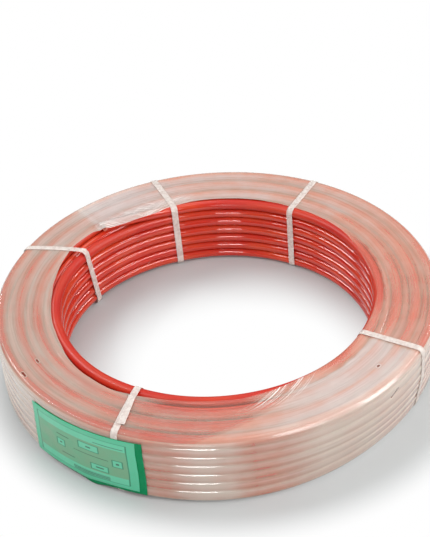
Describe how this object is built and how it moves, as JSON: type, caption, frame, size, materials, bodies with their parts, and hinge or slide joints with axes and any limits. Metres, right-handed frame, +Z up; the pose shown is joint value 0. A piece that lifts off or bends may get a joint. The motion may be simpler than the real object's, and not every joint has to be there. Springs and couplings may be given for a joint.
{
  "type": "coil of plastic pipe",
  "caption": "Plastic pipe wound into a flat, nested coil with an open bore, wrapped in stretch film, strapped and labelled.",
  "frame": {"origin": "centre of the coil at floor level, under its bore", "axes": "+Z up along the coil's winding axis; +X to the right and -Y towards the viewer, who sees the label front left"},
  "size_m": [0.8324, 0.8324, 0.1428],
  "materials": {
    "red_pipe": "satin",
    "clear_film": "glossy translucent",
    "strapping": "satin",
    "green_card": "satin",
    "mint_label": "satin"
  },
  "bodies": {
    "root": {"pipe_coil": "red_pipe", "stretch_film": "clear_film", "strap_1": "strapping", "strap_2": "strapping", "strap_3": "strapping", "strap_4": "strapping", "strap_5": "strapping", "label_backing": "green_card", "label": "mint_label"}
  },
  "joints": []
}
